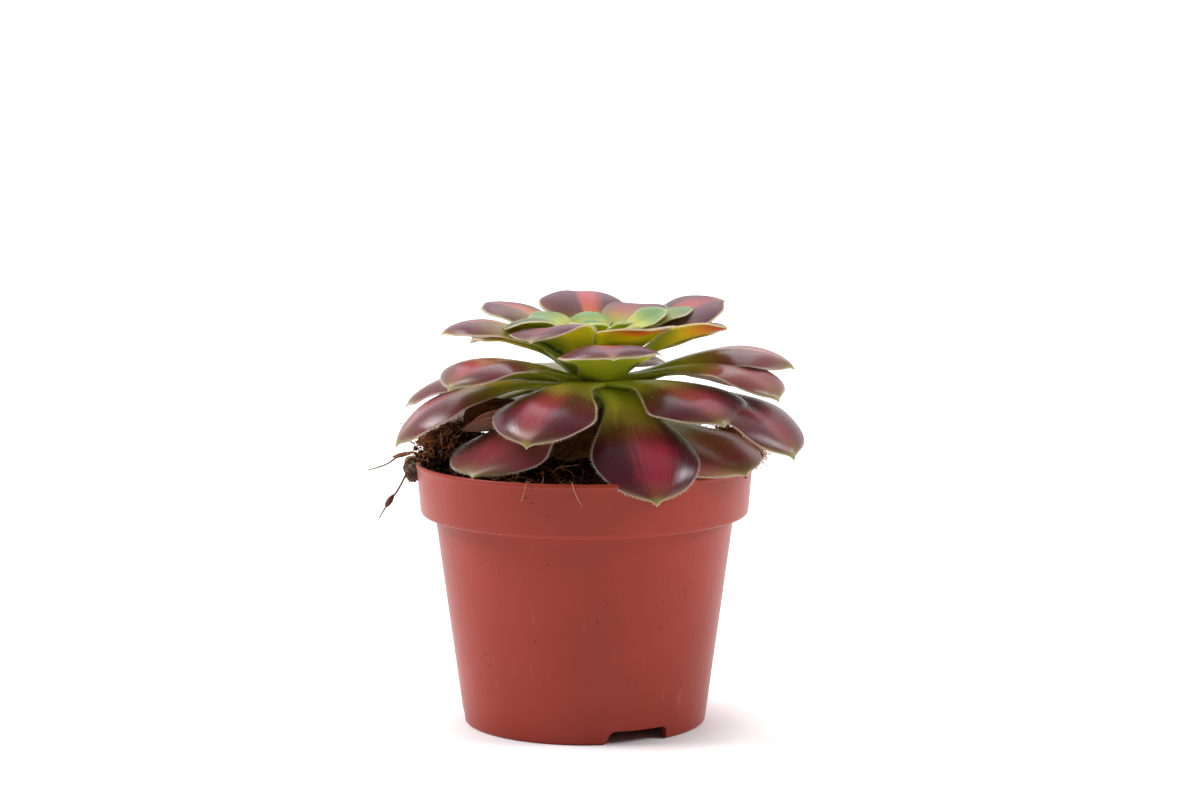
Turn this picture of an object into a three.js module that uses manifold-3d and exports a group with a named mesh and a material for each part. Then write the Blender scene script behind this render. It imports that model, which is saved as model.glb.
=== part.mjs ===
// Potted aeonium: an open rosette of fleshy leaves on a short stem, in a round nursery pot of coir soil.
// Millimetres, +Z up. The origin is on the table under the middle of the pot, and the viewer stands at -Y.
import * as THREE from "three";
import { mergeVertices } from "three/addons/utils/BufferGeometryUtils.js";
import Module from "manifold-3d";

// Pot
const POT_HEIGHT = 93.3;
const RIM_RADIUS = 60;
const COLLAR_RADIUS = 58.2;
const COLLAR_BOTTOM = 74.5;
const NECK_RADIUS = 53.1;
const FOOT_RADIUS = 43.1;
const WALL = 1.3;
const BASE_UNDERSIDE = 5;
const BASE_TOP = 6.4;
const DRAIN_RADIUS = 4;
const DRAIN_CIRCLE = 24;
const DRAIN_COUNT = 6;
const NOTCH_HEIGHT = 4.7;
const NOTCH_ANGLES = [295, 55, 175];
const SECTORS = 40;

// Soil and stem
const SOIL_EDGE = 89;
const SOIL_MOUND = 5;
const STEM_BOTTOM = 62;
const CROWN_BASE = 112;
const CROWN_TOP = 137;
const CROWN_X = 6;
const CROWN_LEAN = -0.05;

// The least gap left between two pieces that touch.
const GAP = 0.32;

// How far a cut surface may be smoothed over.
const TRIM = 0.08;

// One row per leaf: name, direction it points, distance of its base from the crown's axis, height of its
// base, length, width, its climb in degrees at base, middle and tip, roll, sideways swerve of the tip,
// cup of the blade (below 0 is domed), and width of its neck as a share of its width.
const LEAVES = [
  ["front", 288.5, 6, 118.5, 71.5, 38, [-2, -25, -78], 0, -5, -0.28, 0.32],
  ["front_left", 246.5, 6, 120, 64, 38, [4, -6, -75], 0, 0, -0.28, 0.34],
  ["right_front", 314.5, 6, 120.5, 62, 42, [0, 1, -66], 2.5, -9, -0.28, 0.32],
  ["low_right", 322.5, 6, 117, 63.5, 43, [-26, -17, -40], 7, -5, -0.15, 0.34],
  ["right_low", 335, 6, 117.5, 80, 38, [3, -6.5, -72], 0, -20, -0.17, 0.3],
  ["low_left", 220, 6, 118, 63, 40, [-22, -18, -50], 0, 20, -0.22, 0.34],
  ["left_low", 192, 6, 119, 77, 36, [3, -7, -76], 0, 3, -0.3, 0.3],
  ["left", 213, 6, 121, 64, 33, [11, 13, -62], 0, 12, -0.22, 0.3],
  ["left_back", 174, 6, 120.5, 69, 30, [4, 1, -62], 0, 2, -0.3, 0.3],
  ["back_left_low", 119, 6, 120, 62, 34, [6, 2, -58], 0, 0, -0.28, 0.3],
  ["right", 354, 6, 121, 68, 34, [11, 16.5, -54], 0, 0, -0.33, 0.3],
  ["right_mid", 341, 6, 121.5, 69, 31, [6, 8, -66], 0, -26, -0.22, 0.3],
  ["back_right_low", 36, 6, 120, 66, 34, [6, 2, -55], 0, 0, -0.28, 0.3],
  ["rear_low_right", 64, 6, 118, 62, 38, [-8, -16, -62], 0, 0, -0.25, 0.32],
  ["rear_low_left", 100, 6, 117.5, 60, 38, [-11, -18, -58], 0, 0, -0.25, 0.32],
  ["rear_left", 146, 6, 118.5, 68, 36, [-4, -14, -62], 0, 0, -0.28, 0.32],
  ["rear_right", 13, 6, 118, 72, 36, [0, -13, -70], 0, 0, -0.28, 0.32],
  ["rear_mid", 80, 6, 121, 57, 34, [12, 8, -60], 0, 0, -0.28, 0.32],
  ["up_front", 275, 5, 121, 53, 36, [27, 27, -46], 2, 0, -0.26, 0.48],
  ["up_front_left", 235, 5, 124.5, 45, 33, [40, 33, -60], 8, 0, -0.08, 0.46],
  ["up_front_right", 300, 4, 126, 37, 31, [40, 32, -6], 0, 0, 0.04, 0.55],
  ["up_right", 336, 5, 123, 49, 25, [36, 28, -6], -12, 0, 0, 0.42],
  ["up_left", 191, 5, 123, 60, 30, [34, 27, -48], 0, 0, -0.32, 0.42],
  ["up_left_back", 152, 5, 122, 55, 30, [30, 24, -62], 0, 0, -0.28, 0.42],
  ["up_back_left", 153, 4, 127, 50, 30, [44, 30, -18], 0, 0, -0.2, 0.44],
  ["up_back", 103, 4, 125, 51, 31.5, [46, 42, -44], 0, 0, -0.24, 0.44],
  ["up_back_right", 60, 4, 127, 35, 32, [54, 42, -12], 0, 0, 0.02, 0.48],
  ["up_right_back", 22, 4, 126, 52, 27, [41, 31, -8], 14, 0, -0.15, 0.42],
  ["right_back", 10, 5, 123, 46, 26, [38, 28, -14], 0, 0, -0.2, 0.38],
  ["back_right", 44, 5, 124.5, 45, 27, [45, 33, -14], 0, 0, -0.15, 0.42],
  ["in_right", 31, 3, 129, 41, 26, [46, 30, -14], 0, 0, -0.1, 0.42],
  ["in_front_right", 14, 3, 131.5, 27, 17, [50, 33, 20], 12, 0, 0.12, 0.42],
  ["in_left", 202, 4, 127.5, 41, 26, [46, 29, -46], 14, 0, -0.2, 0.4],
  ["in_back_left", 154, 3, 131, 29, 20, [52, 35, -20], 0, 0, -0.1, 0.42],
  ["in_back", 104, 3, 132.5, 20, 16, [60, 44, -8], 0, 0, -0.22, 0.42],
  ["in_front", 296, 3, 130.5, 20, 16, [46, 32, 5], 0, 0, 0, 0.45],
  ["in_left_front", 186, 3, 132, 27, 18, [50, 33, -16], 0, 0, -0.1, 0.4],
  ["bud_1", 226, 2, 133.5, 14, 12, [64, 46, 4], 0, 0, 0.05, 0.42],
  ["bud_2", 328, 2, 134, 15, 13, [60, 40, 6], 0, 0, 0.05, 0.42],
  ["bud_3", 108, 1.5, 134, 13, 12, [66, 46, 0], 0, 0, -0.25, 0.42],
  ["bud_4", 266, 1.5, 134.5, 10, 9, [74, 58, 26], 0, 0, 0.1, 0.45],
  ["bud_5", 95, 1, 134.5, 9, 9, [74, 56, 10], 0, 0, -0.2, 0.45],
];

// Dried leaves, in the same terms.
const DRY_LEAVES = [
  ["dry_leaf_left", 203, 5, 114, 49, 26, [-14, -11, 6], 0, 0, 0.75, 0.3],
  ["dry_leaf_front", 256, 5, 112, 40, 22, [-36, -22, 10], 10, 0, 0.35, 0.3],
  ["dry_leaf_right", 306, 5, 112, 34, 12, [-36, -30, -12], 0, 0, 0.4, 0.35],
  ["dry_leaf_rear", 95, 5, 110, 36, 20, [-50, -30, 10], 0, 0, 0.4, 0.3],
];

// Crumbs on the rim: name, centre, and half its size along X, Y and Z.
const CRUMBS = [
  ["clod_left", -61, -3, 90.5, 3.4, 3.6, 4.6],
  ["coir_right", 60.5, -10, 96.6, 3.6, 5, 3.2],
];

// Loose roots: name, points along the strand, where its swelling is as a share of it, and the swelling's size.
const ROOT_RADIUS = 0.5;
const ROOTS = [
  ["root_upper", [[-61, -4, 96.6], [-65, -5, 95.6], [-70, -6, 92.6], [-77, -7, 90.4]], 0.25, [2.4, 1.4, 1.4]],
  ["root_lower", [[-63.5, -7, 88], [-66, -7.6, 83.4], [-69, -8, 79.4], [-72.4, -8.6, 73.6]], 0.62, [1.2, 1.2, 1.9]],
];

const wasm = await Module();
wasm.setup();
const { Manifold, Mesh } = wasm;

// ---------------------------------------------------------------- helpers

const radians = THREE.MathUtils.degToRad;
const clamp = THREE.MathUtils.clamp;
const smooth = (from, to, t) => THREE.MathUtils.smoothstep(t, from, to);

// A closed geometry as a solid that can be joined and cut.
function solid(geometry) {
  const bare = new THREE.BufferGeometry();
  bare.setAttribute("position", geometry.getAttribute("position"));
  bare.setIndex(geometry.getIndex());
  const merged = mergeVertices(bare, 1e-4);
  return new Manifold(
    new Mesh({
      numProp: 3,
      vertProperties: new Float32Array(merged.getAttribute("position").array),
      triVerts: new Uint32Array(merged.getIndex().array),
    }),
  );
}

// A solid as a geometry that can be drawn.
function geometryOf(body) {
  const mesh = body.getMesh();
  const geometry = new THREE.BufferGeometry();
  geometry.setAttribute("position", new THREE.BufferAttribute(mesh.vertProperties, 3));
  geometry.setIndex(new THREE.BufferAttribute(mesh.triVerts, 1));
  const flat = geometry.toNonIndexed();
  flat.computeVertexNormals();
  return flat;
}

// The biggest of the bodies a cut has left.
function largest(body) {
  return body.decompose().sort((a, b) => b.volume() - a.volume())[0];
}

function add(name, body, material) {
  const mesh = new THREE.Mesh(geometryOf(body), material);
  mesh.name = name;
  plant.add(mesh);
}

function plastic(color, roughness) {
  return new THREE.MeshStandardMaterial({ color, roughness });
}

// ---------------------------------------------------------------- leaf

// Half the width of a leaf at a share s of its length, where 1 is its widest place.
function outline(s, neck) {
  const rise = neck + (1 - neck) * smooth(0.2, 0.72, s);
  if (s <= 0.66) return rise + 0.06 * clamp(1 - s / 0.12, 0, 1) ** 2;
  const fall = Math.sqrt(clamp(1 - ((s - 0.66) / 0.305) ** 2.2, 0, 1));
  const tip = s > 0.85 ? 0.2 * clamp((1 - s) / 0.07, 0, 1) ** 1.1 : 0;
  return Math.max(rise * fall, tip);
}

// Where the middle of a leaf runs, as points one step apart from its base to its tip.
function midrib(azimuth, radius, height, length, [p0, pm, p1], swerve, steps = 96) {
  const lean = CROWN_LEAN * (height - CROWN_BASE);
  const start = new THREE.Vector3(radius, 0, height);
  start.applyAxisAngle(new THREE.Vector3(0, 0, 1), radians(azimuth));
  start.x += CROWN_X + lean;
  const climb = (t) => radians(p0 * (1 - t) * (1 - 2 * t) + 4 * pm * t * (1 - t) + p1 * t * (2 * t - 1));
  const heading = (t) => radians(azimuth + swerve * t * t);
  const points = [start];
  for (let i = 0; i < steps; i++) {
    const t = (i + 0.5) / steps;
    const next = new THREE.Vector3(
      Math.cos(climb(t)) * Math.cos(heading(t)),
      Math.cos(climb(t)) * Math.sin(heading(t)),
      Math.sin(climb(t)),
    );
    points.push(next.multiplyScalar(length / steps).add(points[i]));
  }
  return { points, climb, heading, steps };
}

// A leaf as one closed geometry, grown all round by the given amount.
function leafGeometry(row, grow = 0, thick = 1) {
  const [, azimuth, radius, height, length, width, pitch, roll, swerve, cup, neck] = row;
  const rib = midrib(azimuth, radius, height, length, pitch, swerve);
  const rows = length > 30 ? 9 : 6;
  const columns = 4;
  const positions = [];
  const top = [];
  const bottom = [];
  const along = new THREE.Vector3();
  for (let i = 0; i < rows; i++) {
    const s = 1 - (1 - i / rows) ** 1.2;
    const at = s * rib.steps;
    const centre = rib.points[Math.floor(at)].clone().lerp(rib.points[Math.ceil(at)], at % 1);
    const h = rib.heading(s);
    const p = rib.climb(s);
    const across = new THREE.Vector3(-Math.sin(h), Math.cos(h), 0);
    const up = new THREE.Vector3(-Math.sin(p) * Math.cos(h), -Math.sin(p) * Math.sin(h), Math.cos(p));
    along.crossVectors(across, up);
    const turn = radians(roll) * smooth(0.1, 0.7, s);
    across.applyAxisAngle(along, turn);
    up.applyAxisAngle(along, turn);
    const half = (width / 2) * outline(s, neck);
    const bend = 0.18 + (cup - 0.18) * smooth(0.05, 0.5, s);
    const flesh = thick * (1.7 - 0.9 * smooth(0, 0.6, s)) * Math.sqrt(clamp((1 - s) / 0.1, 0.15, 1));
    top.push([]);
    bottom.push([]);
    for (let j = 0; j <= columns; j++) {
      const v = (2 * j) / columns - 1;
      const middle = centre
        .clone()
        .addScaledVector(across, (half + grow) * v)
        .addScaledVector(up, bend * half * v * v);
      const lift = flesh * (0.25 + 0.75 * Math.sqrt(1 - v * v)) + grow;
      for (const [side, face] of [[1, top], [-1, bottom]]) {
        const point = middle.clone().addScaledVector(up, side * lift);
        face[i].push(positions.push(...point) / 3 - 1);
      }
    }
  }
  const end = rib.points[rib.steps].clone().addScaledVector(along, 2 * grow);
  const tip = positions.push(...end) / 3 - 1;

  // Round each row of the skin once, from the top's first edge to the bottom's.
  const faces = [];
  const loops = top.map((row, i) => [...row, ...bottom[i].toReversed()]);
  const around = loops[0].length;
  for (let k = 0; k < around; k++) {
    const next = (k + 1) % around;
    for (let i = 1; i < rows; i++) {
      faces.push(loops[i - 1][k], loops[i][k], loops[i - 1][next]);
      faces.push(loops[i - 1][next], loops[i][k], loops[i][next]);
    }
    faces.push(loops[rows - 1][k], tip, loops[rows - 1][next]);
  }
  for (let j = 0; j < columns; j++) {
    faces.push(top[0][j], top[0][j + 1], bottom[0][j]);
    faces.push(top[0][j + 1], bottom[0][j + 1], bottom[0][j]);
  }
  const geometry = new THREE.BufferGeometry();
  geometry.setAttribute("position", new THREE.Float32BufferAttribute(positions, 3));
  geometry.setIndex(faces);
  return geometry;
}

// ---------------------------------------------------------------- build

const plant = new THREE.Group();
plant.name = "potted_aeonium";

// Every piece already placed, a little grown, so the next one is cut clear of it.
const taken = [];
function clear(body) {
  return taken.reduce((left, other) => left.subtract(other), body);
}

// Pot: a thin wall turned round the pot's axis, with a wide collar below the rim.
const slope = (NECK_RADIUS - FOOT_RADIUS) / COLLAR_BOTTOM;
const wallRadius = (z) => FOOT_RADIUS + slope * z;
const potProfile = [
  [0, BASE_UNDERSIDE],
  [FOOT_RADIUS - 3, BASE_UNDERSIDE],
  [FOOT_RADIUS - 2.2, 0],
  [FOOT_RADIUS - 0.6, 0],
  [FOOT_RADIUS, 0.7],
  [wallRadius(COLLAR_BOTTOM - 1), COLLAR_BOTTOM - 1],
  [NECK_RADIUS + 0.8, COLLAR_BOTTOM],
  [COLLAR_RADIUS - 1.5, COLLAR_BOTTOM],
  [COLLAR_RADIUS - 0.4, COLLAR_BOTTOM + 0.5],
  [COLLAR_RADIUS, COLLAR_BOTTOM + 1.6],
  [RIM_RADIUS - 0.5, POT_HEIGHT - 2],
  [RIM_RADIUS, POT_HEIGHT - 1],
  [RIM_RADIUS - 0.3, POT_HEIGHT],
  [RIM_RADIUS - 1.1, POT_HEIGHT],
  [RIM_RADIUS - 1.5, POT_HEIGHT - 0.5],
  [COLLAR_RADIUS - WALL, COLLAR_BOTTOM + 2.2],
  [COLLAR_RADIUS - WALL - 1, COLLAR_BOTTOM + WALL],
  [NECK_RADIUS - WALL + 0.6, COLLAR_BOTTOM + WALL - 0.1],
  [NECK_RADIUS - WALL, COLLAR_BOTTOM - 0.6],
  [wallRadius(BASE_TOP) - WALL, BASE_TOP + 1.2],
  [wallRadius(BASE_TOP) - WALL - 1.2, BASE_TOP],
  [0, BASE_TOP],
];
function turned(profile, segments) {
  const geometry = new THREE.LatheGeometry(
    profile.map(([r, z]) => new THREE.Vector2(r, z)),
    segments,
  );
  return geometry.rotateX(Math.PI / 2);
}
let pot = solid(turned(potProfile, SECTORS));

const drain = new THREE.CylinderGeometry(DRAIN_RADIUS, DRAIN_RADIUS, 6, 16).rotateX(Math.PI / 2);
drain.translate(0, 0, BASE_TOP - 0.7);
pot = pot.subtract(solid(drain));
for (let i = 0; i < DRAIN_COUNT; i++) {
  const hole = drain.clone().translate(DRAIN_CIRCLE, 0, 0);
  hole.rotateZ((i * 2 * Math.PI) / DRAIN_COUNT);
  pot = pot.subtract(solid(hole));
}

// A notch in the foot, wider at the floor, with one slanted and one rounded end.
const notchShape = new THREE.Shape();
notchShape.moveTo(-12.4, -1);
notchShape.lineTo(-12.4, 0);
notchShape.lineTo(-9.6, NOTCH_HEIGHT);
notchShape.lineTo(10.6, NOTCH_HEIGHT);
notchShape.quadraticCurveTo(11.9, NOTCH_HEIGHT, 11.9, NOTCH_HEIGHT - 1.8);
notchShape.lineTo(11.9, -1);
for (const angle of NOTCH_ANGLES) {
  const notch = new THREE.ExtrudeGeometry(notchShape, { depth: 12, bevelEnabled: false, curveSegments: 4 });
  notch.rotateX(Math.PI / 2);
  notch.translate(0, -33, 0);
  notch.rotateZ(radians(angle - 270));
  pot = pot.subtract(solid(notch));
}
add("pot", pot, plastic(0xa64a3a, 0.45));

// Soil: fills the pot to just under the rim, with a low mound at the stem and a heap at the left.
function soilHeight(x, y) {
  const mound = SOIL_MOUND * Math.exp(-((x - CROWN_X) ** 2 + y * y) / 700);
  const heap = 9 * Math.exp(-((x + 44) ** 2) / 180 - (y - 6) ** 2 / 500);
  const lumps = 0.7 * Math.sin(x * 0.31 + y * 0.12) * Math.cos(y * 0.27 - x * 0.09);
  return SOIL_EDGE + mound + heap + lumps;
}
// The soil's side, just clear of the pot's inner wall from the floor up.
const soilSide = [
  [wallRadius(BASE_TOP) - WALL - 1.7, BASE_TOP + GAP],
  [wallRadius(BASE_TOP) - WALL - GAP - 0.1, BASE_TOP + 1.6],
  [NECK_RADIUS - WALL - GAP - 0.1, COLLAR_BOTTOM - 0.4],
  [NECK_RADIUS - WALL + 0.2, COLLAR_BOTTOM + WALL + 0.3],
  [COLLAR_RADIUS - WALL - 1.4, COLLAR_BOTTOM + WALL + 0.4],
  [COLLAR_RADIUS - WALL - 0.5, COLLAR_BOTTOM + 2.4],
  [COLLAR_RADIUS - WALL + 0.6, SOIL_EDGE - 1],
];
function soilGeometry(lift = 0) {
  const positions = [0, 0, BASE_TOP + GAP];
  const rings = [];
  const ring = (radius, height) => {
    const first = positions.length / 3;
    for (let k = 0; k < SECTORS; k++) {
      const a = (2 * Math.PI * k) / SECTORS;
      const x = radius * Math.cos(a);
      const y = radius * Math.sin(a);
      positions.push(x, y, height ?? soilHeight(x, y) + lift);
    }
    rings.push(first);
  };
  for (const [radius, height] of soilSide) ring(radius, height);
  for (const radius of [52, 45, 37, 28, 18, 9]) ring(radius);
  const centre = positions.push(0, 0, soilHeight(0, 0) + lift) / 3 - 1;
  const faces = [];
  for (let k = 0; k < SECTORS; k++) {
    const next = (k + 1) % SECTORS;
    faces.push(0, rings[0] + next, rings[0] + k);
    for (let i = 1; i < rings.length; i++) {
      const a = rings[i - 1];
      const b = rings[i];
      faces.push(a + k, a + next, b + k, a + next, b + next, b + k);
    }
    faces.push(rings.at(-1) + k, rings.at(-1) + next, centre);
  }
  const geometry = new THREE.BufferGeometry();
  geometry.setAttribute("position", new THREE.Float32BufferAttribute(positions, 3));
  geometry.setIndex(faces);
  return geometry;
}

// Stem: a short woody trunk rooted in the soil, swelling into the crown the leaves spring from.
function stemGeometry(grow = 0) {
  const profile = [
    [0, STEM_BOTTOM - grow],
    [3.6 + grow, STEM_BOTTOM - grow],
    [5, STEM_BOTTOM + 6],
    [5.2, 96],
    [5.4, 108],
    [6.4, 115],
    [6.3, 119],
    [5.2, 124],
    [3.8, 129],
    [2.4, 133.5],
    [1.1, CROWN_TOP - 1 + grow],
    [0, CROWN_TOP + grow],
  ].map(([r, z], i) => [r > 0 && i !== 1 ? r + grow : r, z]);
  const geometry = turned(profile, 20);
  const position = geometry.getAttribute("position");
  for (let i = 0; i < position.count; i++) {
    const lean = CROWN_LEAN * Math.max(0, position.getZ(i) - CROWN_BASE);
    position.setX(i, position.getX(i) + CROWN_X + lean);
  }
  return geometry;
}
const stemSpace = solid(stemGeometry(GAP));
add("stem", solid(stemGeometry()), plastic(0x6f6a36, 0.8));
add("soil", solid(soilGeometry()).subtract(stemSpace), plastic(0x3a2518, 0.95));
taken.push(stemSpace, solid(soilGeometry(GAP)));

// The rim, grown by the gap, for the leaves and crumbs that lie over it.
const rimProfile = [
  [COLLAR_RADIUS - WALL, 80],
  [RIM_RADIUS + GAP, 80],
  [RIM_RADIUS + GAP, POT_HEIGHT + GAP],
  [COLLAR_RADIUS - 0.2, POT_HEIGHT + GAP],
  [COLLAR_RADIUS - WALL - GAP, 80],
  [COLLAR_RADIUS - WALL, 80],
];
taken.push(solid(turned(rimProfile, SECTORS)));

for (const row of LEAVES) {
  const leaf = largest(clear(solid(leafGeometry(row))).simplify(TRIM));
  add(row[0], leaf, plastic(row[4] > 40 ? 0x6d3340 : 0x9aae62, 0.45));
  taken.push(solid(leafGeometry(row, GAP)));
}

// Dried leaves: thin and brown, curled up lengthwise, hanging from the stem under the live ones.
for (const row of DRY_LEAVES) {
  const leaf = largest(clear(solid(leafGeometry(row, 0, 0.5))).simplify(TRIM));
  add(row[0], leaf, plastic(0x5a3a22, 0.9));
  taken.push(solid(leafGeometry(row, GAP, 0.5)));
}

// Crumbs of coir that lie over the rim, cut clear of it.
for (const [name, x, y, z, width, depth, height] of CRUMBS) {
  const lump = new THREE.IcosahedronGeometry(1, 2);
  lump.deleteAttribute("normal");
  lump.deleteAttribute("uv");
  const shape = mergeVertices(lump, 1e-4);
  const position = shape.getAttribute("position");
  for (let i = 0; i < position.count; i++) {
    const p = new THREE.Vector3().fromBufferAttribute(position, i);
    const bump = 1 + 0.13 * Math.sin(5 * p.x + 2 * p.z) * Math.cos(4 * p.y - 3 * p.x);
    position.setXYZ(i, x + p.x * bump * width, y + p.y * bump * depth, z + p.z * bump * height);
  }
  const crumb = largest(clear(solid(shape)).simplify(TRIM));
  add(name, crumb, plastic(0x574437, 0.95));
  taken.push(crumb);
}

// Roots: thin strands that hang from the crumbs, each with one swollen node along it.
for (const [name, points, knot, size] of ROOTS) {
  const path = new THREE.CatmullRomCurve3(points.map((p) => new THREE.Vector3(...p)));
  const round = new THREE.Shape().absarc(0, 0, ROOT_RADIUS, 0, 2 * Math.PI);
  const strand = new THREE.ExtrudeGeometry(round, { steps: 14, curveSegments: 3, extrudePath: path });
  const swelling = new THREE.IcosahedronGeometry(1, 1).scale(...size);
  swelling.translate(...path.getPointAt(knot));
  const root = solid(strand).add(solid(swelling));
  add(name, largest(clear(root).simplify(TRIM)), plastic(0x6b4a30, 0.8));
}

export default plant;
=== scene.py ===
import math
import random

import bpy
from mathutils import Matrix, Vector, noise


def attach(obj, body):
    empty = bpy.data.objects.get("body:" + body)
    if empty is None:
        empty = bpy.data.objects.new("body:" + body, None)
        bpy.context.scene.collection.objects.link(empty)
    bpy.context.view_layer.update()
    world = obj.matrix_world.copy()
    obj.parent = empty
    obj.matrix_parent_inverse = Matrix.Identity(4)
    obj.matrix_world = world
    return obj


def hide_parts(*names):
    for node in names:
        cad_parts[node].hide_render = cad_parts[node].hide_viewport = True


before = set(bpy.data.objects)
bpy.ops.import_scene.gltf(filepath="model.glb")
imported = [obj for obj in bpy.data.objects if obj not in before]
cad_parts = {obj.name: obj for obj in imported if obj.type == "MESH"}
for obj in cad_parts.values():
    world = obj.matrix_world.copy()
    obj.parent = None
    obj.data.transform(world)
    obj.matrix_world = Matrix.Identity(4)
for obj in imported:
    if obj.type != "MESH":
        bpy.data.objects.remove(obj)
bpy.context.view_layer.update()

# ------------------------------------------------------------------ pot
# A round nursery pot, moulded in one piece from terracotta-coloured polypropylene: a thin tapered wall, a
# wide collar under the rim, a foot ring broken by three notches, and drain holes in the base. The skin is
# satin, with fine upright scuffs from stacking, and paler where it turns away.

MM = 0.001
POT_HEIGHT = 93.3
RIM_RADIUS = 60
COLLAR_RADIUS = 58.2
COLLAR_BOTTOM = 74.5
NECK_RADIUS = 53.1
FOOT_RADIUS = 43.1
WALL = 1.3
BASE_UNDERSIDE = 5
BASE_TOP = 6.4
DRAIN_RADIUS = 4
DRAIN_CIRCLE = 24
DRAIN_COUNT = 6
NOTCH_HEIGHT = 4.7
NOTCH_WIDTH = 24
NOTCH_DEPTH = 12
NOTCH_RADIUS = 39
NOTCH_SLANT = 2.6
NOTCH_ROUNDING = 1.5
NOTCH_ANGLES = (295, 55, 175)
POT_ROUNDING = 0.35
POT_CORNERS = 180
TERRACOTTA, TERRACOTTA_SHADE, SCUFF_PINK, SPECK_BROWN = "94311f", "8a2d1c", "c07c6c", "3a1812"


class Wire:
    """A shader socket. Arithmetic on it adds the Math nodes that work it out."""

    def __init__(self, finish, socket):
        self.finish = finish
        self.socket = socket

    def math(self, operation, *values):
        return self.finish.node("Math", {"operation": operation}, dict(enumerate(values)))

    def __add__(self, other):
        return self.math("ADD", self, other)

    def __sub__(self, other):
        return self.math("SUBTRACT", self, other)

    def __mul__(self, other):
        return self.math("MULTIPLY", self, other)

    def __radd__(self, other):
        return self.math("ADD", other, self)

    def __rsub__(self, other):
        return self.math("SUBTRACT", other, self)

    def __rmul__(self, other):
        return self.math("MULTIPLY", other, self)

    def __abs__(self):
        return self.math("ABSOLUTE", self)

    def smooth(self, low, high):
        """0 below low, 1 above high, and a soft step between."""
        settings = {"interpolation_type": "SMOOTHSTEP"}
        return self.finish.node("MapRange", settings, {"Value": self, "From Min": low, "From Max": high})

    def mix(self, first, second):
        """The first colour where this is 0 and the second where it is 1."""
        return self.finish.node("Mix", {"data_type": "RGBA"}, {0: self, 6: first, 7: second}, 2)


class Finish:
    """A material: constants sit on the shader's own sockets, and wires carry what varies over the surface."""

    def __init__(self, name, constants):
        self.material = bpy.data.materials.new(name)
        self.material.use_nodes = True
        self.shader = self.material.node_tree.nodes["Principled BSDF"]
        for socket, value in constants.items():
            self.shader.inputs[socket].default_value = value
        self.place = self.node("TexCoord", out="Object")

    def node(self, kind, settings=None, sockets=None, out=0):
        """Adds a node: its settings first, then the values or wires of its sockets."""
        made = self.material.node_tree.nodes.new("ShaderNode" + kind)
        for name, value in (settings or {}).items():
            if name == "stops":
                ramp = made.color_ramp.elements
                while len(ramp) < len(value):
                    ramp.new(0.5)
                for element, (position, colour) in zip(ramp, value):
                    element.position = position
                    element.color = colour
            else:
                setattr(made, name, value)
        for key, value in (sockets or {}).items():
            if isinstance(value, Wire):
                self.material.node_tree.links.new(value.socket, made.inputs[key])
            else:
                made.inputs[key].default_value = value
        return Wire(self, made.outputs[out])

    def noise(self, scale, detail=3, vector=None, rough=0.5):
        sockets = {"Vector": vector or self.place, "Scale": scale, "Detail": detail, "Roughness": rough}
        return self.node("TexNoise", None, sockets)

    def stretched(self, x, y, z):
        """The object's own coordinates, scaled unevenly."""
        return self.node("Mapping", None, {"Vector": self.place, "Scale": (x, y, z)})

    def drive(self, socket, wire):
        self.material.node_tree.links.new(wire.socket, self.shader.inputs[socket])

    def relief(self, height, distance):
        self.drive("Normal", self.node("Bump", None, {"Height": height, "Distance": distance}))


def tone(code):
    """A colour as it looks on a screen, as the shader wants it."""
    shares = [int(code[i:i + 2], 16) / 255 for i in (0, 2, 4)]
    return (*[c / 12.92 if c < 0.0405 else ((c + 0.055) / 1.055) ** 2.4 for c in shares], 1)


def only(piece, *others):
    """Selects these pieces and no more, with the first one active."""
    bpy.ops.object.select_all(action="DESELECT")
    for chosen in (piece, *others):
        chosen.select_set(True)
    bpy.context.view_layer.objects.active = piece


def fresh(piece, name):
    """Names a new piece and settles its place into its mesh."""
    piece.name = name
    piece.data.name = name
    only(piece)
    bpy.ops.object.transform_apply(location=True, rotation=True, scale=True)
    return piece


def turned(name, rings, corners):
    """A turned body: a filled circle drawn up through rings of radius and height, in mm."""
    radius, height = rings[0]
    bpy.ops.mesh.primitive_circle_add(
        vertices=corners, radius=radius * MM, fill_type="NGON", location=(0, 0, height * MM))
    piece = fresh(bpy.context.object, name)
    bpy.ops.object.mode_set(mode="EDIT")
    bpy.ops.mesh.select_all(action="SELECT")
    for next_radius, next_height in rings[1:]:
        bpy.ops.mesh.extrude_region_move(
            TRANSFORM_OT_translate={"value": (0, 0, (next_height - height) * MM)})
        grow = next_radius / radius
        bpy.ops.transform.resize(value=(grow, grow, 1), center_override=(0, 0, 0))
        radius, height = next_radius, next_height
    bpy.ops.mesh.select_all(action="SELECT")
    bpy.ops.mesh.remove_doubles(threshold=1e-6)
    bpy.ops.mesh.normals_make_consistent(inside=False)
    bpy.ops.object.mode_set(mode="OBJECT")
    return piece


def modified(piece, kind, **settings):
    """Adds a modifier to the piece and applies it."""
    bpy.context.view_layer.objects.active = piece
    modifier = piece.modifiers.new(kind.lower(), kind)
    for name, value in settings.items():
        setattr(modifier, name, value)
    bpy.ops.object.modifier_apply(modifier=modifier.name)
    return piece


def rounded(piece, width, segments, degrees):
    """Rounds the edges that turn by more than so many degrees, by a width in mm."""
    modified(piece, "BEVEL", width=width * MM, segments=segments,
             limit_method="ANGLE", angle_limit=math.radians(degrees))


def smoothed(piece, degrees=None):
    """Shades the piece smooth all over, or only where its faces meet at less than so many degrees."""
    only(piece)
    if degrees is None:
        bpy.ops.object.shade_smooth()
    else:
        bpy.ops.object.shade_smooth_by_angle(angle=math.radians(degrees))
    return piece


def wall_radius(height):
    """The tapered wall's outer radius at a height."""
    return FOOT_RADIUS + (NECK_RADIUS - FOOT_RADIUS) / COLLAR_BOTTOM * height


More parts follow.
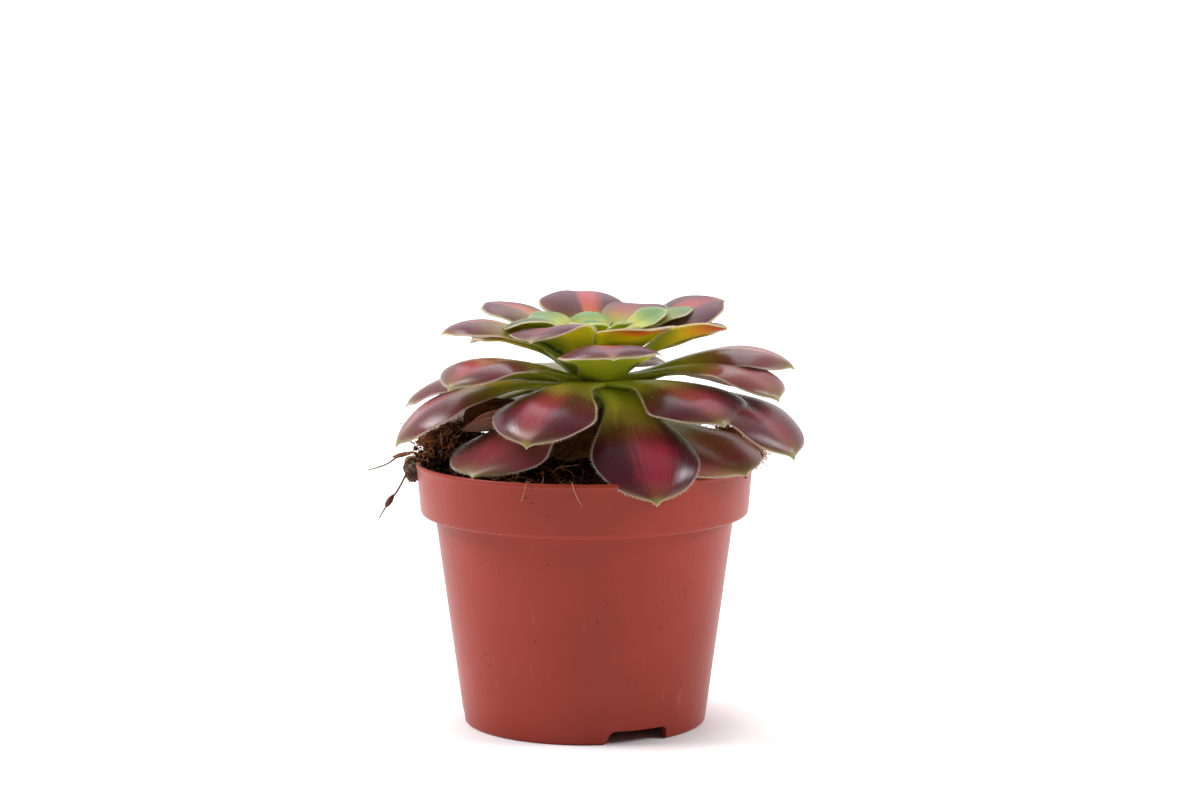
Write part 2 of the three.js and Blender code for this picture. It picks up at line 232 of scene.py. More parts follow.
# The profile goes from under the base out over the foot, up the wall, collar and rim, and down inside.
pot = turned("nursery_pot", [
    (FOOT_RADIUS - 3, BASE_UNDERSIDE),
    (FOOT_RADIUS - 2.2, 0),
    (FOOT_RADIUS - 0.6, 0),
    (FOOT_RADIUS, 0.7),
    (wall_radius(40), 40),
    (wall_radius(COLLAR_BOTTOM - 1), COLLAR_BOTTOM - 1),
    (NECK_RADIUS + 0.8, COLLAR_BOTTOM),
    (COLLAR_RADIUS - 1.5, COLLAR_BOTTOM),
    (COLLAR_RADIUS - 0.4, COLLAR_BOTTOM + 0.5),
    (COLLAR_RADIUS, COLLAR_BOTTOM + 1.6),
    (RIM_RADIUS - 0.5, POT_HEIGHT - 2),
    (RIM_RADIUS, POT_HEIGHT - 1),
    (RIM_RADIUS - 0.3, POT_HEIGHT),
    (RIM_RADIUS - 1.1, POT_HEIGHT),
    (RIM_RADIUS - 1.5, POT_HEIGHT - 0.5),
    (COLLAR_RADIUS - WALL, COLLAR_BOTTOM + 2.2),
    (COLLAR_RADIUS - WALL - 1, COLLAR_BOTTOM + WALL),
    (NECK_RADIUS - WALL + 0.6, COLLAR_BOTTOM + WALL - 0.1),
    (NECK_RADIUS - WALL, COLLAR_BOTTOM - 0.6),
    (wall_radius(BASE_TOP) - WALL, BASE_TOP + 1.2),
    (wall_radius(BASE_TOP) - WALL - 1.2, BASE_TOP),
], POT_CORNERS)
rounded(pot, POT_ROUNDING, 3, 20)

cutters = []
for turn in range(DRAIN_COUNT + 1):
    # The first drain hole is in the middle, and the others ring it.
    circle = DRAIN_CIRCLE if turn else 0
    angle = turn * 2 * math.pi / DRAIN_COUNT
    bpy.ops.mesh.primitive_cylinder_add(
        vertices=32, radius=DRAIN_RADIUS * MM, depth=6 * MM,
        location=[c * MM for c in (circle * math.cos(angle), circle * math.sin(angle), BASE_TOP - 0.7)])
    cutters.append(fresh(bpy.context.object, "drain_cutter"))
for angle in NOTCH_ANGLES:
    # A block across the foot ring: one end slants, the other is rounded over.
    bpy.ops.mesh.primitive_cube_add(
        size=1, location=[c * MM for c in (0, -NOTCH_RADIUS, (NOTCH_HEIGHT - 1) / 2)],
        scale=[c * MM for c in (NOTCH_WIDTH, NOTCH_DEPTH, NOTCH_HEIGHT + 1)])
    notch = fresh(bpy.context.object, "notch_cutter")
    for vertex in notch.data.vertices:
        if vertex.co.x < 0 < vertex.co.z:
            vertex.co.x += NOTCH_SLANT * MM
    rounded(notch, NOTCH_ROUNDING, 4, 60)
    notch.data.transform(Matrix.Rotation(math.radians(angle - 270), 4, "Z"))
    cutters.append(notch)
for cutter in cutters:
    modified(pot, "BOOLEAN", operation="DIFFERENCE", solver="EXACT", object=cutter)
    bpy.data.objects.remove(cutter)
smoothed(pot, 32)

plastic = Finish("pot_plastic", {"Specular IOR Level": 0.24, "Sheen Weight": 0.3, "Sheen Roughness": 0.25})
cloud = plastic.noise(22, 3)
scuffs = plastic.noise(1, 5, plastic.stretched(620, 620, 26), 0.6)
rubs = plastic.noise(1, 3, plastic.stretched(240, 240, 42))
chalk = rubs.smooth(0.62, 0.8) * plastic.noise(34, 2).smooth(0.5, 0.72)
dust = plastic.node("TexVoronoi", None, {"Vector": plastic.place, "Scale": 260.0})
speck = (1 - dust.smooth(0.08, 0.14)) * plastic.noise(60, 2).smooth(0.5, 0.58)
colour = cloud.smooth(0.3, 0.75).mix(tone(TERRACOTTA), tone(TERRACOTTA_SHADE))
colour = (chalk * 0.4 + scuffs.smooth(0.62, 0.8) * 0.16).mix(colour, tone(SCUFF_PINK))
colour = (speck * 0.9).mix(colour, tone(SPECK_BROWN))
plastic.drive("Base Color", colour)
plastic.drive("Roughness", 0.4 + cloud * 0.08 + chalk * 0.2 - scuffs.smooth(0.5, 0.8) * 0.06)
plastic.relief(plastic.noise(900, 2) * 0.5 + scuffs * 0.5 + cloud * 3, 0.00006)
pot.data.materials.append(plastic.material)
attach(pot, "root")
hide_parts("pot")

# ------------------------------------------------------------------ soil
# Damp coir and peat pressed into the pot to just under the rim, with a low mound at the stem, a heap at
# the left and a small bank at the right. The top is crumbs and lumps, with loose orange-brown coir fibres
# and a few white grains.

GAP = 0.32
SOIL_EDGE = 89
CROWN_X = 6
SOIL_CORNERS = 150
TOP_STEPS = 44
CRUMB_COUNT = 1500
CRUMB_SIZES = (0.5, 0.7, 0.9, 1.3, 1.9)
HEAPED_CRUMBS = 640
FIBRE_COUNT = 760
FRONT_FIBRES = 300
HEAPED_FIBRES = 860
FIBRE_REACH = 12
CLEAR_INSIDE, CLEAR_ABOVE = 56.5, 94.5
GRAIN_COUNT = 40
PEAT_DARK, PEAT_BROWN, PEAT_WARM = "150a07", "3d2216", "5e3820"
COIR_BROWN, COIR_ORANGE, COIR_PALE = "8a4420", "d8985c", "dcb080"
GRAIN_GREY, GRAIN_WHITE = "a99d8e", "e6e0d4"

# the mound at the stem, the heap and the bank: middle x and y, height, squared spread in x and y
SOIL_RISES = ((CROWN_X, 0, 5, 700, 700), (-46, 6, 15, 260, 420), (48, -1, 15, 170, 120))


def soil_height(x, y):
    """The height of the soil's top at a place, in mm."""
    height = SOIL_EDGE
    for middle_x, middle_y, rise, spread_x, spread_y in SOIL_RISES:
        height += rise * math.exp(-((x - middle_x) ** 2) / spread_x - (y - middle_y) ** 2 / spread_y)
    return height + 0.7 * math.sin(x * 0.31 + y * 0.12) * math.cos(y * 0.27 - x * 0.09)


soil_rings = [
    (wall_radius(BASE_TOP) - WALL - 1.7, BASE_TOP + GAP),
    (wall_radius(BASE_TOP) - WALL - GAP - 0.1, BASE_TOP + 1.6),
    (NECK_RADIUS - WALL - GAP - 0.1, COLLAR_BOTTOM - 0.4),
    (NECK_RADIUS - WALL + 0.2, COLLAR_BOTTOM + WALL + 0.3),
    (COLLAR_RADIUS - WALL - 1.4, COLLAR_BOTTOM + WALL + 0.4),
    (COLLAR_RADIUS - WALL - 0.5, COLLAR_BOTTOM + 2.4),
    (COLLAR_RADIUS - WALL + 0.3, SOIL_EDGE - 2),
]
for step in range(TOP_STEPS):
    soil_rings.append(((COLLAR_RADIUS - WALL + 0.4) * (1 - step / TOP_STEPS), SOIL_EDGE))
soil = turned("soil_bed", soil_rings, SOIL_CORNERS)
for vertex in soil.data.vertices:
    x, y, z = vertex.co / MM
    if z > SOIL_EDGE - 0.5:
        here = Vector((x, y, 0))
        rough = 1.1 * noise.noise(here * 0.22)
        rough += 0.9 * abs(noise.noise(here * 0.6)) + 0.5 * noise.noise(here * 1.4)
        inner = min(1, (COLLAR_RADIUS - WALL + 0.6 - here.length) / 2)
        vertex.co.z = (soil_height(x, y) - 0.8 + rough * inner) * MM
smoothed(soil)

peat = Finish("soil_peat", {"Specular IOR Level": 0.25})
grains = peat.node("TexVoronoi", None, {"Vector": peat.place, "Scale": 700.0})
crumbs = peat.noise(480, 6, None, 0.7)
warm = peat.noise(150, 4)
colour = crumbs.smooth(0.36, 0.7).mix(tone(PEAT_DARK), tone(PEAT_BROWN))
colour = (warm.smooth(0.5, 0.75) * 0.7).mix(colour, tone(PEAT_WARM))
peat.drive("Base Color", colour)
peat.drive("Roughness", 0.82 + crumbs * 0.15)
peat.relief(crumbs + grains * 0.8, 0.0009)
soil.data.materials.append(peat.material)
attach(soil, "root")
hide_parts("soil")


def edited(piece, operator, **settings):
    """Runs one edit-mode operator over the whole of a piece."""
    only(piece)
    bpy.ops.object.mode_set(mode="EDIT")
    bpy.ops.mesh.select_all(action="SELECT")
    operator(**settings)
    bpy.ops.object.mode_set(mode="OBJECT")


def strand(name, points, radii, sides=2, steps=4):
    """A thin strand through points, with a radius at each, all in mm. It comes back as a closed mesh."""
    line = bpy.data.curves.new(name, "CURVE")
    line.dimensions = "3D"
    line.bevel_depth = MM
    line.bevel_resolution = sides
    line.resolution_u = steps
    line.use_fill_caps = True
    spline = line.splines.new("BEZIER")
    spline.bezier_points.add(len(points) - 1)
    for knot, point, radius in zip(spline.bezier_points, points, radii):
        knot.co = Vector(point) * MM
        knot.radius = radius
        knot.handle_left_type = knot.handle_right_type = "AUTO"
    piece = bpy.data.objects.new(name, line)
    bpy.context.scene.collection.objects.link(piece)
    only(piece)
    bpy.ops.object.convert(target="MESH")
    piece = bpy.context.object
    edited(piece, bpy.ops.mesh.normals_make_consistent, inside=False)
    return smoothed(piece)


def meshed(name, corners, faces):
    """A piece made straight from corners and faces."""
    mesh = bpy.data.meshes.new(name)
    mesh.from_pydata(corners, [], faces)
    piece = bpy.data.objects.new(name, mesh)
    bpy.context.scene.collection.objects.link(piece)
    return piece


def scattered(name, models, places):
    """One piece made of many small copies: places are (index of the model, matrix)."""
    corners, faces, shapes = [], [], []
    for model in models:
        mesh = model.data
        shapes.append(([v.co.copy() for v in mesh.vertices], [tuple(p.vertices) for p in mesh.polygons]))
        bpy.data.objects.remove(model)
    for index, matrix in places:
        first = len(corners)
        corners.extend(matrix @ corner for corner in shapes[index][0])
        faces.extend(tuple(first + i for i in face) for face in shapes[index][1])
    return smoothed(meshed(name, corners, faces))


def crumb_model(draw, squash=0.7):
    """A small angular crumb, about 1 mm in radius."""
    bpy.ops.mesh.primitive_ico_sphere_add(subdivisions=1, radius=MM)
    crumb = fresh(bpy.context.object, "crumb_model")
    for vertex in crumb.data.vertices:
        vertex.co *= 1 + draw.uniform(-0.35, 0.3)
        vertex.co.z *= squash
    return crumb


def fibre_model(draw, length, curl, radius):
    """A wiry fibre, curled at random, lying along X."""
    points = [(0, 0, 0)]
    heading = draw.uniform(-0.4, 0.4)
    tilt = draw.uniform(-0.3, 0.3)
    for _ in range(4):
        heading += draw.uniform(-curl, curl)
        tilt += draw.uniform(-curl, curl) * 0.6
        x, y, z = points[-1]
        step = length / 4
        points.append((x + step * math.cos(heading), y + step * math.sin(heading), z + step * math.sin(tilt)))
    return strand("fibre_model", points, [radius, radius, radius * 0.9, radius * 0.7, radius * 0.4], 0, 3)


def lying(draw, x, y, z, size, steep):
    """A random stance at a place in mm: turned any way round and tipped by up to steep radians."""
    turn = Matrix.Rotation(draw.uniform(0, 2 * math.pi), 4, "Z")
    tip = Matrix.Rotation(draw.uniform(-steep, steep), 4, "Y")
    spin = Matrix.Rotation(draw.uniform(0, 2 * math.pi), 4, "X")
    return Matrix.Translation(Vector((x, y, z)) * MM) @ turn @ tip @ spin @ Matrix.Scale(size, 4)


def on_soil(draw, inner=0.0, outer=56.0):
    """A random place on the soil, evenly spread over the ring between two radii."""
    radius = math.sqrt(draw.uniform(inner ** 2, outer ** 2))
    angle = draw.uniform(0, 2 * math.pi)
    return radius * math.cos(angle), radius * math.sin(angle)


def heaped(draw, *heaps):
    """A random place on one of the heaps: each has its middle and spread in x, then in y."""
    return draw.choice([(draw.gauss(x, wide), draw.gauss(y, deep)) for x, wide, y, deep in heaps])


def strewn(draw, kinds, x, y, lift, sizes, steep):
    """One of so many kinds, lying at a height above the soil, its size drawn from a range."""
    return draw.randrange(kinds), lying(draw, x, y, soil_height(x, y) + lift, draw.uniform(*sizes), steep)


def clear(matrix):
    """Whether a fibre lying so stays inside the pot, or else wholly above its rim."""
    start, end = matrix.translation, matrix @ Vector((FIBRE_REACH * MM, 0, 0))
    return math.hypot(end.x, end.y) < CLEAR_INSIDE * MM or min(start.z, end.z) > CLEAR_ABOVE * MM


draw = random.Random(7)
models = [crumb_model(draw) for _ in range(6)]
places = []
for _ in range(CRUMB_COUNT):
    x, y = on_soil(draw)
    size = draw.choice(CRUMB_SIZES)
    places.append((draw.randrange(6), lying(draw, x, y, soil_height(x, y) - 0.1, size, 1)))
for _ in range(HEAPED_CRUMBS):
    x, y = heaped(draw, (-48, 5, 0, 10), (54, 3, -4, 6))
    out = math.hypot(x, y)
    if out < RIM_RADIUS:
        lift = draw.uniform(0, 1.5) + max(0, out - 57)
        places.append(strewn(draw, 6, x, y, lift, (0.5, 2), 1))
crumbs_piece = scattered("soil_crumbs", models, places)
crumbs_piece.data.materials.append(peat.material)
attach(crumbs_piece, "root")

coir = Finish("coir_fibre", {"Specular IOR Level": 0.3, "Roughness": 0.7})
shade = coir.noise(140, 3)
colour = shade.smooth(0.35, 0.68).mix(tone(COIR_BROWN), tone(COIR_ORANGE))
coir.drive("Base Color", coir.noise(45, 2).smooth(0.55, 0.7).mix(colour, tone(COIR_PALE)))

models = [fibre_model(draw, draw.uniform(5, 14), 0.7, draw.uniform(0.1, 0.2)) for _ in range(10)]
places = [strewn(draw, 10, *on_soil(draw, 0, 55), 0.8, (0.6, 1.1), 0.2) for _ in range(FIBRE_COUNT)]
for _ in range(FRONT_FIBRES):
    x, y = on_soil(draw, 30, 55)
    places.append(strewn(draw, 10, x, -abs(y), 1.1, (0.5, 1), 0.15))
for _ in range(HEAPED_FIBRES):
    x, y = heaped(draw, (-53, 5, 0, 9), (54, 4, -4, 6))
    out = math.hypot(x, y)
    if out < RIM_RADIUS + 2:
        lift = abs(draw.gauss(0, 2.4)) + max(0, out - 56)
        places.append(strewn(draw, 10, x, y, lift, (0.5, 0.9), 0.7))
fibres = scattered("coir_fibres", models, [place for place in places if clear(place[1])])
fibres.data.materials.append(coir.material)
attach(fibres, "root")

perlite = Finish("perlite_grain", {"Roughness": 0.85, "Subsurface Weight": 0.1, "Subsurface Scale": 0.0005})
perlite.drive("Base Color", perlite.noise(900, 3).smooth(0.3, 0.7).mix(tone(GRAIN_GREY), tone(GRAIN_WHITE)))
models = [crumb_model(draw, 0.85) for _ in range(3)]
places = [strewn(draw, 3, *on_soil(draw, 20, 55), 0.5, (0.35, 0.8), 1) for _ in range(GRAIN_COUNT)]
grains_piece = scattered("perlite_grains", models, places)
grains_piece.data.materials.append(perlite.material)
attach(grains_piece, "root")

# ------------------------------------------------------------------ stem
# The short fleshy trunk the rosette grows on: green-brown, ringed with the narrow scars of lost leaves,
# rooted in the soil and swelling into the crown.

STEM_BOTTOM = 62
STEM_RADIUS = 5
CROWN_SWELL = 1.4
CROWN_BASE = 112
CROWN_TOP = 137
CROWN_LEAN = -0.05
BARK_BROWN, BARK_GREEN, SCAR_BROWN, CROWN_GREEN = "4d3a22", "6e6b2e", "2f2013", "9cac2c"


def smooth(low, high, t):
    """0 below low, 1 above high, and a soft step between."""
    t = min(max((t - low) / (high - low), 0), 1)
    return t * t * (3 - 2 * t)


def stem_radius(height):
    """The trunk's radius, thinner at its foot, wider at the crown and tapering to the growing tip."""
    body = STEM_RADIUS + CROWN_SWELL * smooth(104, 115, height)
    return body * (1 - 0.83 * smooth(118, CROWN_TOP, height)) * (0.7 + 0.3 * smooth(STEM_BOTTOM, 68, height))


stem = turned("stem_trunk", [(stem_radius(z), z) for z in range(STEM_BOTTOM, CROWN_TOP + 1)], 48)
for vertex in stem.data.vertices:
    x, y, z = vertex.co / MM
    angle = math.atan2(y, x)
    scar = max(0, math.sin(angle * 5 + z * 1.1)) * max(0, math.sin(z * 1.35 + 2 * math.sin(angle * 2)))
    swell = 1 + 0.05 * scar + 0.05 * noise.noise(Vector((x, y, z)) * 0.35)
    lean = CROWN_LEAN * max(0, z - CROWN_BASE)
    vertex.co = Vector((x * swell + CROWN_X + lean, y * swell, z)) * MM
smoothed(stem)

bark = Finish("stem_bark", {"Specular IOR Level": 0.3})
rings = bark.noise(1, 4, bark.stretched(160, 160, 700))
patch = bark.noise(130, 4)
colour = patch.smooth(0.4, 0.65).mix(tone(BARK_BROWN), tone(BARK_GREEN))
colour = rings.smooth(0.55, 0.7).mix(colour, tone(SCAR_BROWN))
crown = bark.node("SeparateXYZ", None, {0: bark.place}, 2).smooth(0.109, 0.116)
bark.drive("Base Color", crown.mix(colour, tone(CROWN_GREEN)))
bark.drive("Roughness", 0.6 + rings * 0.25)
bark.relief(rings + patch, 0.0006)
stem.data.materials.append(bark.material)
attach(stem, "root")
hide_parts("stem")

# ------------------------------------------------------------------ leaves
# Forty-two fleshy leaves spiral up the crown they grow from, each a narrow thick neck opening to a broad
# spoon with a short point and a fringe of fine pale hairs round its edge. The outer ones are waxy dark
# purple over red, and the inner ones grey-green.

ROWS = 34
COLUMNS = 12
WIDEST = 0.66
NECK_CUP = 0.18
NECK_FLESH = 2.1
BLADE_FLESH = 0.8
GROOVE = 0.09
WAVE = 0.035
FRILL = 0.022
STRAY = 0.02
HAIR_FIRST, HAIR_LAST = 0.14, 0.985
HAIR_LENGTHS = (0.5, 0.95)
HAIR_STEPS = (0.75, 1.15)
HAIR_WIDTH = 0.15

# name, direction, base's distance from the axis, base's height, length, width, climb at base, middle and
# tip, roll, swerve, cup, neck, how red the middle is, how dark the blade is
LOWER_LEAVES = [
    ("front", 288.5, 6, 118.5, 71.5, 38, (-2, -25, -78), 0, -5, -0.28, 0.32, 0.95, 0.95),
    ("front_left", 246.5, 6, 120, 64, 38, (4, -6, -75), 0, 0, -0.28, 0.34, 1.0, 0.9),
    ("right_front", 314.5, 6, 120.5, 62, 42, (0, 1, -66), 2.5, -9, -0.28, 0.32, 0.8, 0.9),
    ("low_right", 322.5, 6, 117, 63.5, 43, (-26, -17, -40), 7, -5, -0.15, 0.34, 0.45, 0.25),
    ("right_low", 335, 6, 117.5, 80, 38, (3, -6.5, -72), 0, -20, -0.17, 0.3, 0.45, 0.85),
    ("low_left", 220, 6, 118, 63, 40, (-22, -18, -50), 0, 20, -0.22, 0.34, 0.35, 0.75),
    ("left_low", 192, 6, 119, 77, 36, (3, -7, -76), 0, 3, -0.3, 0.3, 0.6, 0.8),
    ("left", 213, 6, 121, 64, 33, (11, 13, -62), 0, 12, -0.22, 0.3, 0.7, 0.8),
    ("left_back", 174, 6, 120.5, 69, 30, (4, 1, -62), 0, 2, -0.3, 0.3, 0.3, 0.8),
    ("back_left_low", 119, 6, 120, 62, 34, (6, 2, -58), 0, 0, -0.28, 0.3, 0.6, 0.8),
    ("right", 354, 6, 121, 68, 34, (11, 16.5, -54), 0, 0, -0.33, 0.3, 0.4, 0.7),
    ("right_mid", 341, 6, 121.5, 69, 31, (6, 8, -66), 0, -26, -0.22, 0.3, 0.3, 0.65),
    ("back_right_low", 36, 6, 120, 66, 34, (6, 2, -55), 0, 0, -0.28, 0.3, 0.8, 0.8),
    ("rear_low_right", 64, 6, 118, 62, 38, (-8, -16, -62), 0, 0, -0.25, 0.32, 0.7, 0.85),
    ("rear_low_left", 100, 6, 117.5, 60, 38, (-11, -18, -58), 0, 0, -0.25, 0.32, 0.5, 0.7),
    ("rear_left", 146, 6, 118.5, 68, 36, (-4, -14, -62), 0, 0, -0.28, 0.32, 0.8, 0.9),
    ("rear_right", 13, 6, 118, 72, 36, (0, -13, -70), 0, 0, -0.28, 0.32, 0.5, 0.8),
    ("rear_mid", 80, 6, 121, 57, 34, (12, 8, -60), 0, 0, -0.28, 0.32, 0.9, 0.85),
]
UPPER_LEAVES = [
    ("up_front", 275, 5, 121, 53, 36, (27, 27, -46), 2, 0, -0.26, 0.48, 0.5, 0.9),
    ("up_front_left", 235, 5, 124.5, 45, 33, (40, 33, -60), 8, 0, -0.08, 0.46, 0.4, 0.8),
    ("up_front_right", 300, 4, 126, 37, 31, (40, 32, -6), 0, 0, 0.04, 0.55, 0.4, 0.5),
    ("up_right", 336, 5, 123, 49, 25, (36, 28, -6), -12, 0, 0, 0.42, 0.7, 0.6),
    ("up_left", 191, 5, 123, 60, 30, (34, 27, -48), 0, 0, -0.32, 0.42, 0.2, 0.8),
    ("up_left_back", 152, 5, 122, 55, 30, (30, 24, -62), 0, 0, -0.28, 0.42, 0.6, 0.8),
    ("up_back_left", 153, 4, 127, 50, 30, (44, 30, -18), 0, 0, -0.2, 0.44, 0.6, 0.85),
    ("up_back", 103, 4, 125, 51, 31.5, (46, 42, -44), 0, 0, -0.24, 0.44, 1.0, 0.9),
    ("up_back_right", 60, 4, 127, 35, 32, (54, 42, -12), 0, 0, 0.02, 0.48, 0.3, 0.75),
    ("up_right_back", 22, 4, 126, 52, 27, (41, 31, -8), 14, 0, -0.15, 0.42, 0.9, 0.9),
    ("right_back", 10, 5, 123, 46, 26, (38, 28, -14), 0, 0, -0.2, 0.38, 0.3, 0.9),
    ("back_right", 44, 5, 124.5, 45, 27, (45, 33, -14), 0, 0, -0.15, 0.42, 0.6, 0.85),
]
INNER_LEAVES = [
    ("in_right", 31, 3, 129, 41, 26, (46, 30, -14), 0, 0, -0.1, 0.42, 0.2, 0.25),
    ("in_front_right", 14, 3, 131.5, 27, 17, (50, 33, 20), 12, 0, 0.12, 0.42, 0.0, 0.0),
    ("in_left", 202, 4, 127.5, 41, 26, (46, 29, -46), 14, 0, -0.2, 0.4, 0.5, 0.6),
    ("in_back_left", 154, 3, 131, 29, 20, (52, 35, -20), 0, 0, -0.1, 0.42, 0.0, 0.1),
    ("in_back", 104, 3, 132.5, 20, 16, (60, 44, -8), 0, 0, -0.22, 0.42, 0.0, 0.0),
    ("in_front", 296, 3, 130.5, 20, 16, (46, 32, 5), 0, 0, 0, 0.45, 0.0, 0.0),
    ("in_left_front", 186, 3, 132, 27, 18, (50, 33, -16), 0, 0, -0.1, 0.4, 0.0, 0.0),
    ("bud_1", 226, 2, 133.5, 14, 12, (64, 46, 4), 0, 0, 0.05, 0.42, 0.0, 0.0),
    ("bud_2", 328, 2, 134, 15, 13, (60, 40, 6), 0, 0, 0.05, 0.42, 0.0, 0.0),
    ("bud_3", 108, 1.5, 134, 13, 12, (66, 46, 0), 0, 0, -0.25, 0.42, 0.0, 0.0),
    ("bud_4", 266, 1.5, 134.5, 10, 9, (74, 58, 26), 0, 0, 0.1, 0.45, 0.0, 0.0),
    ("bud_5", 95, 1, 134.5, 9, 9, (74, 56, 10), 0, 0, -0.2, 0.45, 0.0, 0.0),
]

bpy.ops.mesh.primitive_grid_add(x_subdivisions=ROWS, y_subdivisions=COLUMNS, size=1)
blank = fresh(bpy.context.object, "leaf_blank")
modified(blank, "SOLIDIFY", thickness=1, offset=0)
blank.hide_render = True


def half_width(s, neck):
    """Half a leaf's width at a share s of its length, where 1 is its widest place."""
    rise = neck + (1 - neck) * smooth(0.2, 0.72, s)
    if s <= WIDEST:
        return rise + 0.06 * max(0, 1 - s / 0.12) ** 2
    fall = math.sqrt(max(0, 1 - ((s - WIDEST) / 0.305) ** 2.2))
    tip = 0.2 * min(1, (1 - s) / 0.07) ** 1.1 if s > 0.85 else 0
    return max(rise * fall, tip)


class Leaf:
    """The curved surface of one leaf: where a point of it lies, by its share of the length and width."""

    STEPS = 96

    def __init__(self, row, flesh=1.0, ripple=0.0):
        (self.name, self.azimuth, radius, height, self.length, self.width, self.climbs,
         self.roll, self.swerve, self.cup, self.neck, self.red, self.dark) = row
        self.flesh = flesh
        self.ripple = ripple
        self.seed = (self.azimuth * 0.618 + height * 0.37) % 1
        around = math.radians(self.azimuth)
        axis = CROWN_X + CROWN_LEAN * (height - CROWN_BASE)
        self.rib = [Vector((axis + radius * math.cos(around), radius * math.sin(around), height))]
        for step in range(self.STEPS):
            climb, heading = self.aim((step + 0.5) / self.STEPS)
            level = math.cos(climb)
            ahead = Vector((level * math.cos(heading), level * math.sin(heading), math.sin(climb)))
            self.rib.append(self.rib[-1] + ahead * (self.length / self.STEPS))

    def aim(self, s):
        """The climb and the heading at s, in radians."""
        base, middle, tip = self.climbs
        climb = base * (1 - s) * (1 - 2 * s) + 4 * middle * s * (1 - s) + tip * s * (2 * s - 1)
        return math.radians(climb), math.radians(self.azimuth + self.swerve * s * s)

    def frame(self, s):
        """The middle of the leaf at s, and its directions across and up."""
        at = min(s * self.STEPS, self.STEPS - 1e-6)
        centre = self.rib[int(at)].lerp(self.rib[int(at) + 1], at % 1)
        climb, heading = self.aim(s)
        across = Vector((-math.sin(heading), math.cos(heading), 0))
        slope = -math.sin(climb)
        up = Vector((slope * math.cos(heading), slope * math.sin(heading), math.cos(climb)))
        turn = math.radians(self.roll) * smooth(0.1, 0.7, s)
        cosine, sine = math.cos(turn), math.sin(turn)
        return centre, across * cosine + up * sine, up * cosine - across * sine

    def half(self, s):
        """Half the leaf's width at s, in mm."""
        return self.width / 2 * half_width(s, self.neck)

    def point(self, s, v, side):
        """A point of the skin: v is -1 to 1 across, and side is 1 on top, -1 below and 0 on the edge."""
        centre, across, up = self.frame(s)
        half = self.half(s)
        blade = smooth(0.15, 0.65, s)
        bend = NECK_CUP + (self.cup - NECK_CUP) * smooth(0.05, 0.5, s)
        groove = GROOVE * blade * smooth(1.0, 0.85, s) * math.exp(-((v / 0.32) ** 2))
        flesh = self.flesh * (NECK_FLESH - (NECK_FLESH - BLADE_FLESH) * smooth(0, 0.6, s))
        flesh *= math.sqrt(max(0.15, min(1, (1 - s) / 0.1))) * min(1, (1 - s) / 0.02)
        lift = side * flesh * (0.22 + 0.78 * math.sqrt(max(0, 1 - v * v)))
        wave = noise.noise(Vector((s * 3.1, v * 1.3, self.seed * 40))) * WAVE * half * blade
        shift = 2 if v > 0 else 0
        wave += FRILL * half * blade * abs(v) ** 3 * math.sin(s * 21 + self.seed * 9 + shift)
        if self.ripple:
            wave += self.ripple * noise.noise(Vector((s * 7, v * 3.2, self.seed * 70)))
            wave += self.ripple * 0.4 * noise.noise(Vector((s * 21, v * 9, self.seed * 30)))
        stray = 1 + STRAY * blade * noise.noise(Vector((s * 6, v, self.seed * 25)))
        rise = half * (bend * v * v - groove) + lift + wave
        return (centre + across * (half * v * stray) + up * rise) * MM


def leaf_mesh(leaf):
    """A copy of the blank carried onto the leaf's surface, then subdivided smooth."""
    piece = blank.copy()
    piece.data = blank.data.copy()
    piece.hide_render = False
    bpy.context.scene.collection.objects.link(piece)
    named = piece.data.attributes
    for name in ("along", "across", "side", "rim"):
        named.new(name, "FLOAT", "POINT")
    named.new("tint", "FLOAT_VECTOR", "POINT")
    for i, vertex in enumerate(piece.data.vertices):
        s = 1 - max(0, 0.5 - vertex.co.x) ** 1.3
        v = math.sin(math.pi * vertex.co.y)
        side = 1 if vertex.co.z > 0 else -1
        named["along"].data[i].value = s
        named["across"].data[i].value = v
        named["side"].data[i].value = (side + 1) / 2
        named["rim"].data[i].value = leaf.half(s) * (1 - abs(v))
        named["tint"].data[i].vector = (leaf.red, leaf.dark, leaf.seed)
        vertex.co = leaf.point(s, v, side)
    fresh(piece, leaf.name + "_leaf")
    edited(piece, bpy.ops.mesh.remove_doubles, threshold=2e-6)
    return modified(piece, "SUBSURF", levels=1, render_levels=1)


def fringe(leaf, draw):
    """The fine hairs along a leaf's edge, each a slim three-sided spike rooted in the margin."""
    corners, faces = [], []
    for edge in (-1, 1):
        s = HAIR_FIRST
        while s < HAIR_LAST:
            _, across, up = leaf.frame(s)
            root = leaf.point(s, edge, 0)
            ahead = (leaf.point(min(1, s + 0.01), edge, 0) - leaf.point(s - 0.01, edge, 0)).normalized()
            out = (ahead.cross(up) * edge).normalized()
            out = (out if out.dot(across) * edge > 0 else -out) + ahead * 0.35 + up * draw.uniform(-0.3, 0.1)
            length = draw.uniform(*HAIR_LENGTHS) * MM * min(1, leaf.length / 45)
            wide = HAIR_WIDTH * MM * min(1, leaf.length / 40)
            first = len(corners)
            base = root - out * HAIR_WIDTH * MM
            corners += [base + ahead * wide, base - ahead * wide * 0.6 + up * wide,
                        base - ahead * wide * 0.6 - up * wide, root + out.normalized() * length]
            faces += [(first, first + 1, first + 3), (first + 1, first + 2, first + 3),
                      (first + 2, first, first + 3), (first, first + 2, first + 1)]
            travel = (leaf.point(min(1, s + 0.005), edge, 0) - root).length / MM / 0.005
            s += draw.uniform(*HAIR_STEPS) * min(1, leaf.length / 40) / max(travel, 1)
    hairs = meshed("fringe", corners, faces)
    edited(hairs, bpy.ops.mesh.normals_make_consistent, inside=False)
    return hairs


